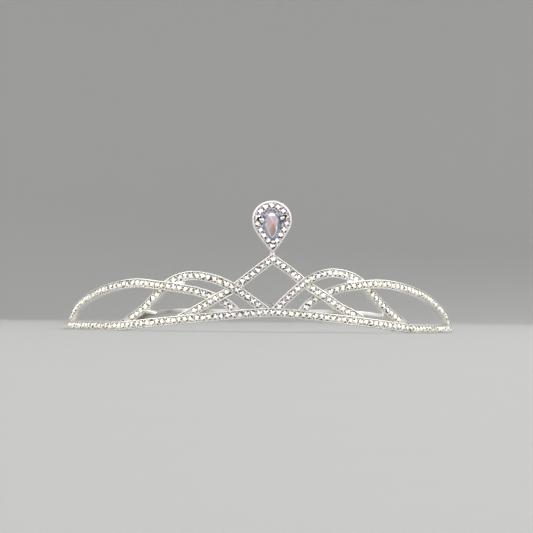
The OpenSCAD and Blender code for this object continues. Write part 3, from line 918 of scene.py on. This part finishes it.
class TIARA_OT_crest(bpy.types.Operator):
    """Setting of the crest, its claws and its post"""

    bl_idname = "tiara.crest"
    bl_label = "Crest setting"

    def execute(self, context):
        band, plane, wall = context.scene.tiara_band, CrestPlane(), Wall()
        setting, claws, post = Form(), Form(), Form()
        rings = []
        for outline, inset, height, below, _ in SETTING:
            points = (plane.setting_outline, plane.stone_outline)[outline](inset * MM)
            rings.append(plane.point(*points.T, height * MM - below * plane.crest.thickness))
        setting.tube(rings, [[row[-1]] for row in SETTING], closed=True)
        finished(setting, "crest_setting", channelled(), 35)

        for x, y, tilt, length, width, dark in CLAWS:
            self.claw(claws, plane, np.array([x, y]) * MM, math.radians(tilt),
                      np.array([length, width]) * MM, dark)
        finished(claws, "pear_claws", [claw_plate()], 60)

        # The post stands on the ribbons' apex and ends under the head
        apex, back, rings = RIBBONS["peak"][0][-1][1] * MM, -band.thickness, []
        low, high = apex - POST_FOOT, plane.crest.height - plane.crest.head_radius
        for share, width in POST:
            half = width * MM / 2
            across, out = box_section(-half, half, back, back + POST_DEPTH, POST_EDGE).T
            rings.append(wall.point(across, low + share * (high - low), out))
        post.tube(rings)
        finished(post, "crest_post", [bright_plate()], 50)
        return {"FINISHED"}

    def claw(self, form, plane, place, tilt, size, dark):
        """A drop-shaped dome over the stones' edges, on a short root."""
        turns, outer_side = circle(32), 1 if place[0] >= 0 else -1
        drop = 1 - CLAW_DROP * np.cos(turns) * outer_side
        # How far each side of the dome faces the outer end: only the upper claws have a darker
        # painted reflection there
        outer = np.cos(turns + turns[1] / 2) * outer_side * (place[1] > LOWEST_UPPER_CLAW)
        along = np.array([math.cos(tilt), math.sin(tilt)])
        across = np.array([-math.sin(tilt), math.cos(tilt)])
        rings = []
        for share, height in DOME:
            a, b = size[0] * share * np.cos(turns), size[1] * share * np.sin(turns) * drop
            points = place + np.outer(a, along) + np.outer(b, across)
            rings.append(plane.point(*points.T, CLAW_FOOT + CLAW_HEIGHT * height))
        # Each face's edge value: painted dark reflection low round the rim, fading to a painted
        # highlight at the top
        reaches = np.array([share if height else 1 for share, height in DOME])
        shades = np.outer((reaches[:-1] + reaches[1:]) / 2, dark + (DARK_OUTER_END - dark) * outer)
        form.tube(rings, edge=[*shades.ravel(), 1, 0])


# Small stones


def stone_places(node):
    """Centre, outward direction, one girdle direction and radius of each stone of a CAD node."""
    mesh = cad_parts[node].data
    points = np.empty(len(mesh.vertices) * 3, np.float32)
    mesh.vertices.foreach_get("co", points)
    corners, same = np.unique(
        points.reshape(-1, 3).astype(float).round(7), axis=0, return_inverse=True)
    same, owner = same.ravel(), list(range(len(corners)))

    def top(i):
        while owner[i] != i:
            owner[i] = owner[owner[i]]
            i = owner[i]
        return i

    for face in mesh.polygons:
        first, *others = (int(same[v]) for v in face.vertices)
        for other in others:
            owner[top(other)] = top(first)
    groups = {}
    for i in range(len(corners)):
        groups.setdefault(top(i), []).append(i)
    places = []
    for group in groups.values():
        cloud = corners[group]
        offset = cloud - cloud.mean(axis=0)
        normal = np.linalg.eigh(np.cov(offset.T))[1][:, 0]
        heights = offset @ normal
        reach = np.linalg.norm(offset - np.outer(heights, normal), axis=1)
        girdle = cloud[reach > 0.9 * reach.max()]
        centre = girdle.mean(axis=0)
        radius = np.linalg.norm(girdle[0] - centre)
        # The culet is the highest or lowest corner, and the stone faces away from it
        outward = normal * -np.sign(heights[np.argmax(np.abs(heights))])
        places.append((centre, outward, (girdle[0] - centre) / radius, radius))
    return sorted(places, key=lambda place: tuple(place[0].round(5)))


def sector_facets(i, n):
    """The nine facets of sector i of a cut stone with n: four on its crown, two on its girdle and
    three on its pavilion. Its corners are n of the table, n of the star facets, 2 n on the girdle's
    upper edge and 2 n on its lower one, n of the pavilion, and the culet."""
    j, h = (i + 1) % n, (i - 1) % n
    star, low, culet = n, 6 * n, 7 * n
    a, mid, b = 2 * (n + i), 2 * (n + i) + 1, 2 * (n + j)
    a_low, mid_low, b_low = a + 2 * n, mid + 2 * n, b + 2 * n
    return [[i, star + i, j], [i, star + h, a, star + i], [star + i, a, mid], [star + i, mid, b],
            [a, a_low, mid_low, mid], [mid, mid_low, b_low, b], [culet, low + h, a_low, low + i],
            [low + i, a_low, mid_low], [low + i, mid_low, b_low]]


def brilliant():
    """A round brilliant of radius 1: points, facets, and each facet's least and most painted
    brightness.
    """
    table_r, table_z, rim_z, star_r = 0.56, 0.285, 0.02, 0.79
    culet_z, low_r, n = -0.78, 0.3, SECTORS
    half = math.pi / n
    star_z = table_z - (table_z - rim_z) / (1 - table_r) * (star_r * math.cos(half) - table_r)
    low_z = -rim_z + (culet_z + rim_z) * (1 - low_r * math.cos(half))
    points = np.vstack([
        level_ring(n, table_r, table_z), level_ring(n, star_r, star_z, half),
        level_ring(2 * n, 1, rim_z), level_ring(2 * n, 1, -rim_z),
        level_ring(n, low_r, low_z, half), [[0, 0, culet_z]]])
    faces = [list(range(n))] + [face for i in range(n) for face in sector_facets(i, n)]
    # Least and most painted brightness, standing for reflections, of a sector's crown, girdle and
    # pavilion facets
    shares = [(0.45, 1.0)] * 4 + [(0.3, 0.6)] * 2 + [(0.1, 0.5)] + [(0.05, 0.4)] * 2
    return points, faces, np.array([(0.55, 1.0)] + shares * n)


def set_stones(form, places, random):
    """Sets a brilliant in each place, each turned and tilted a little."""
    points, faces, shares = brilliant()
    least, most = shares.T
    for centre, normal, across, radius in places:
        # How far the painted rainbow light of the middle of the band reaches this stone
        iris = np.clip((IRIS_REACH - abs(centre[0] - MIDDLE)) / IRIS_FADE, 0, 1)
        turn, lean = random.uniform(0, math.pi / 4), random.normal(0, STONE_LEAN, 2)
        n = unit(normal + lean[0] * across + lean[1] * np.cross(normal, across))
        x = unit(across - (across @ n) * n)
        y = np.cross(n, x)
        u, v = (x * math.cos(turn) + y * math.sin(turn), y * math.cos(turn) - x * math.sin(turn))
        # Each facet's painted brightness, standing for what it reflects
        facets = least + (most - least) * random.beta(1.0, 0.9, len(faces))
        # Some crown facets get a painted dark reflection of the room, mostly those of every other
        # sector, and more of them near the middle of the band
        if random.uniform() < ALTERNATE:
            sectors = random.integers(2) + 2 * random.permutation(SECTORS // 2)
        else:
            sectors = random.permutation(SECTORS)
        for sector in sectors[:round(random.uniform(*DARK_SECTORS) + MORE_DARK * iris)]:
            first = SECTOR_FACETS * sector + random.integers(1, 3)
            facets[first:SECTOR_FACETS * sector + 1 + CROWN_FACETS] *= random.uniform(*DARK_SHARE)
        # A painted tint of coloured light: from the cool rainbow half more often near the middle
        tint = 0.5 * random.uniform() + (0.5 if random.uniform() < iris else 0)
        form.add(centre + radius * (points @ np.array([u, v, n])), faces, facet=facets, stone=tint)


def set_beads(form, places, reach):
    """Two grain beads in each gap between stones, from the channel's floor over their edges."""
    turns = circle(8)
    for i, (a, a_normal, _, _) in enumerate(places):
        for b, b_normal, _, _ in places[i + 1:]:
            if np.linalg.norm(b - a) > reach:
                continue
            n = unit(a_normal + b_normal)
            side = unit(np.cross(n, b - a))
            rim = np.outer(np.cos(turns), side) + np.outer(np.sin(turns), np.cross(side, n))
            for sign in (-1, 1):
                foot = (a + b) / 2 + sign * BEAD_SIDE * side
                form.tube([foot + h * MM * n + r * MM * rim for r, h in BEAD])


def spread_between(wall, line, known, over, taken):
    """Places that carry a row of stones on, at its own pitch, to where it dips under another piece.

    known are the places that the frame holds, over is [line, least distance] for each piece that
    lies over the row, and taken are the centres of all the stones that are there."""
    points = wall.point(line[:, 0], line[:, 1], line[:, 2] - GIRDLE_DROP)
    s = distances(points)
    spots = []
    for place in known:
        away = np.linalg.norm(points - place[0], axis=1)
        if away.min() < ROW_ROOM:
            spots.append(s[np.argmin(away)])
    spots = np.sort(spots)
    numbers = np.round((spots - spots[0]) / STONE_PITCH).astype(int)
    added = []
    for k in range(math.ceil(-spots[0] / STONE_PITCH), int((s[-1] - spots[0]) / STONE_PITCH) + 1):
        near = np.argmin(np.abs(numbers - k))
        at = spots[near] + (k - numbers[near]) * STONE_PITCH
        if k in numbers or not 0 < at < s[-1]:
            continue
        spot, centre = places_at(at, s, line), places_at(at, s, points)
        if any(np.linalg.norm(other[:, :2] - spot[:2], axis=1).min() < room
               for other, room in over):
            continue
        if np.linalg.norm(np.array(taken) - centre, axis=1).min() < STONE_ROOM:
            continue
        normal = wall.outward(spot[0])
        across = unit(np.cross(normal, places_at(at + LOOK_AHEAD, s, points) - centre))
        added.append((centre, normal, across, known[0][3]))
        taken.append(centre)
    return added


def stone_rows(wall):
    """For each node of small stones: the places that the frame holds, and those tucked in."""
    lines, rail = ribbon_lines(), [(rail_line(), RAIL_ROOM)]
    held = {kind + "_stones": stone_places(kind + "_stones") for kind in ("rail", "halo", *lines)}
    tucked = {node: [] for node in held}
    taken = [place[0] for places in held.values() for place in places]
    for kind, group in lines.items():
        node, over = kind + "_stones", [(line, TUCK_ROOM) for line in lines[DIPS_UNDER[kind]]]
        for line in group:
            tucked[node] += spread_between(wall, line, held[node], over + rail, taken)
    return held, tucked


class TIARA_OT_small_stones(bpy.types.Operator):
    """Rows of small stones, the halo, and the grain beads that hold them"""

    bl_idname = "tiara.small_stones"
    bl_label = "Small stones"

    def execute(self, context):
        random, crystal = np.random.default_rng(SEED), [small_crystal()]
        held, tucked = stone_rows(Wall())
        beads, more = Form(), Form()
        for node, places in held.items():
            form = Form()
            set_stones(form, places, random)
            set_beads(beads, places + tucked[node],
                      HALO_REACH if node == "halo_stones" else ROW_REACH)
            finished(form, "cut_" + node, crystal, nodes=[node])
        set_stones(more, [place for places in tucked.values() for place in places], random)
        finished(more, "tucked_stones", crystal, nodes=[])
        finished(beads, "grain_beads", [bright_plate()], 60)
        return {"FINISHED"}


# Pear stone


def crown_shade(kind, x, y, random):
    """Painted brightness of a crown facet of the pear stone, standing for reflections and for shade
    beside the claws, by its kind and its place in millimetres.
    """
    painted_shade_by_claw = abs(x) > 1.9 and 0.2 < y < 1.7
    shade = random.uniform(0, 0.3) if painted_shade_by_claw else random.uniform(0.3, 0.8)
    if kind == 0 and y < 0.6:
        shade = 0.7 + 0.3 * shade
    elif y < -1.5:
        shade = 0.45 + 0.5 * shade
    if x > 1.5 and -3.4 < y < -0.6:
        shade *= 0.6
    elif y < -2:
        shade *= 0.82
    return 0.6 * shade + 0.24 if y > 2.4 else shade


class TIARA_OT_pear_stone(bpy.types.Operator):
    """Pear-cut centre stone"""

    bl_idname = "tiara.pear_stone"
    bl_label = "Pear stone"

    def execute(self, context):
        plane, random, form = CrestPlane(), np.random.default_rng(SEED + 1), Form()
        sides = PEAR_SIDES
        culet, middle, kite = (np.array(place) * MM for place in (CULET, BLUSH_REFLECTION_MIDDLE, KITE))
        girdle = evenly_round(plane.stone_outline(0), 2 * sides)
        table = culet + (girdle[::2] - culet) * TABLE_SHARE
        star = culet + (girdle[1::2] - culet) * STAR_SHARE
        low = culet + (girdle[1::2] - culet) * LOW_SHARE
        blush_reflection = middle + (table - middle) * BLUSH_REFLECTION_SHARE
        # Outlines, and their heights over the crest's face in millimetres
        rows = [(table, 0.5), (star, 0.236), (girdle, 0), (girdle, -0.1), (low, -1.35),
                (culet[None], -1.95), (kite, 0.5), (blush_reflection, 0.5)]
        flat = np.vstack([outline for outline, _ in rows])
        points = np.vstack([plane.point(*outline.T, z * MM) for outline, z in rows])
        # Where the corners of the kite and of the field of painted reflection begin
        k = len(flat) - len(blush_reflection) - len(kite)
        e = k + len(kite)
        # The kite's two faces get a dark painted reflection
        faces, shades, zones = [[k, k + 1, k + 2], [k, k + 2, k + 3]], [0.14, 0.26], [1, 1]

        def place(face):
            return flat[face].mean(axis=0) / MM

        # Under the table, painted as reflections seen through it: the kite, the pinkish field round
        # it, and the table's edge round that, with a painted highlight along its top
        corners = [int(np.argmin(np.linalg.norm(blush_reflection - corner, axis=1))) for corner in kite]
        for i in range(4):
            faces.append([k + i, e + corners[i], k + (i + 1) % 4])
            j = corners[i]
            while j != corners[(i + 1) % 4]:
                faces.append([k + (i + 1) % 4, e + j, e + (j - 1) % sides])
                j = (j - 1) % sides
        for face in faces[2:]:
            x, y = place(face)
            # A dark painted reflection on the table's lower right
            dark = x > 0.3 and y < -3.4
            shades.append(random.uniform(0.05, 0.35) if dark else random.uniform(0.5, 0.82))
            zones.append(0 if dark else 1)
        for i in range(sides):
            faces.append([i, (i + 1) % sides, e + (i + 1) % sides, e + i])
            high = place(faces[-1])[1]
            # A painted highlight along the top of the table's edge
            shades.append(1.0 if high > 1.4 else random.uniform(0.55, 0.95))
            zones.append(1 if high > -3.5 else 0)
        for i in range(sides):
            side = sector_facets(i, sides)
            faces += side
            shades += [crown_shade(kind, *place(face), random)
                       for kind, face in enumerate(side[:CROWN_FACETS])]
            # Painted brightness of the girdle's and the pavilion's facets
            shades += [0.4, 0.4, *random.uniform(0.6, 1.0, 3)]
            zones += [0] * SECTOR_FACETS
        form.add(points, faces, facet=shades, zone=zones)
        finished(form, "cut_pear_stone", [pear_crystal()],
                 nodes=["pear_stone"])
        return {"FINISHED"}


# Stage


@made_once
def matt_paper(finish, look):
    """Pale paper of the floor and backdrop, a little uneven."""
    paper = finish.noise(scale=60, detail=4, roughness=0.6)
    return {
        "Base Color": finish.blend(paper, look.floor, shaded(look.floor, 0.97)),
        "Roughness": 0.85}


class TIARA_OT_stage(bpy.types.Operator):
    """Pale floor with its rim turned up, soft lights and the camera"""

    bl_idname = "tiara.stage"
    bl_label = "Stage"

    def execute(self, context):
        scene, link = context.scene, context.scene.collection.objects.link
        profile = [(0.3, 0), (1.0, 0), (FLOOR_RADIUS, 0)]
        profile += [(FLOOR_RADIUS + RIM_RADIUS * math.sin(a), RIM_RADIUS - RIM_RADIUS * math.cos(a))
                    for a in np.linspace(0, math.pi / 2, 16)[1:]]
        profile.append((FLOOR_RADIUS + RIM_RADIUS, RIM_TOP))
        turns = 96
        mesh = bpy.data.meshes.new("studio_floor")
        mesh.from_pydata(np.vstack([level_ring(turns, *row) for row in profile]).tolist(), [],
                         [list(range(turns))] + ring_faces(len(profile), turns))
        mesh.shade_smooth()
        mesh.materials.append(matt_paper())
        floor = bpy.data.objects.new("studio_floor", mesh)
        link(floor)

        scene.world = bpy.data.worlds.new("studio")
        scene.world.use_nodes = True
        backing = scene.world.node_tree.nodes["Background"]
        backing.inputs["Color"].default_value = SKY
        backing.inputs["Strength"].default_value = SKY_STRENGTH
        for name, place, size, power, colour in LAMPS:
            light = bpy.data.lights.new(name, "AREA")
            light.shape, light.size, light.energy, light.color = "DISK", size, power, colour
            lamp = bpy.data.objects.new(name, light)
            lamp.location = place
            lamp.rotation_euler = (LAMP_AIM - Vector(place)).to_track_quat("-Z", "Y").to_euler()
            lamp.visible_camera = False
            link(lamp)

        camera = bpy.data.cameras.new("camera")
        camera.sensor_width, camera.lens = CAMERA_SENSOR, CAMERA_LENS
        camera.clip_start, camera.clip_end = 0.02, 20
        holder = bpy.data.objects.new("camera", camera)
        level = math.cos(CAMERA_PITCH)
        ahead = Vector((math.sin(CAMERA_YAW) * level, math.cos(CAMERA_YAW) * level,
                        math.sin(CAMERA_PITCH)))
        right = ahead.cross(Vector((0, 0, 1))).normalized()
        up = right.cross(ahead)
        c, s = math.cos(CAMERA_ROLL), math.sin(CAMERA_ROLL)
        turn = Matrix((right * c + up * s, up * c - right * s, -ahead)).transposed().to_4x4()
        holder.matrix_world = Matrix.Translation(CAMERA_PLACE) @ turn
        link(holder)
        scene.camera = holder
        scene.view_settings.view_transform = "Standard"
        return {"FINISHED"}


class TIARA_PT_panel(bpy.types.Panel):
    """The tiara's sizes and colours, and its pieces in the order that they are made"""

    bl_label = "Pave tiara"
    bl_idname = "TIARA_PT_panel"
    bl_space_type = "VIEW_3D"
    bl_region_type = "UI"
    bl_category = "Tiara"

    def draw(self, context):
        for group in GROUPS:
            for name in GROUPS[group].__annotations__:
                self.layout.prop(getattr(context.scene, group), name)
        for operator in OPERATORS:
            self.layout.operator(operator.bl_idname)


GROUPS = {"tiara_band": TiaraBand, "tiara_crest": TiaraCrest, "tiara_finish": TiaraFinish}
OPERATORS = [TIARA_OT_stage, TIARA_OT_band, TIARA_OT_ribbons, TIARA_OT_solder_work,
             TIARA_OT_crest, TIARA_OT_small_stones, TIARA_OT_pear_stone]


def register():
    for item in [*GROUPS.values(), *OPERATORS, TIARA_PT_panel]:
        bpy.utils.register_class(item)
    for name, group in GROUPS.items():
        setattr(bpy.types.Scene, name, bpy.props.PointerProperty(type=group))


def unregister():
    for name in GROUPS:
        delattr(bpy.types.Scene, name)
    for item in [TIARA_PT_panel, *OPERATORS[::-1], *GROUPS.values()]:
        bpy.utils.unregister_class(item)


def main():
    register()
    for operator in OPERATORS:
        getattr(bpy.ops.tiara, operator.bl_idname.split(".")[1])()


if __name__ == "__main__":
    main()
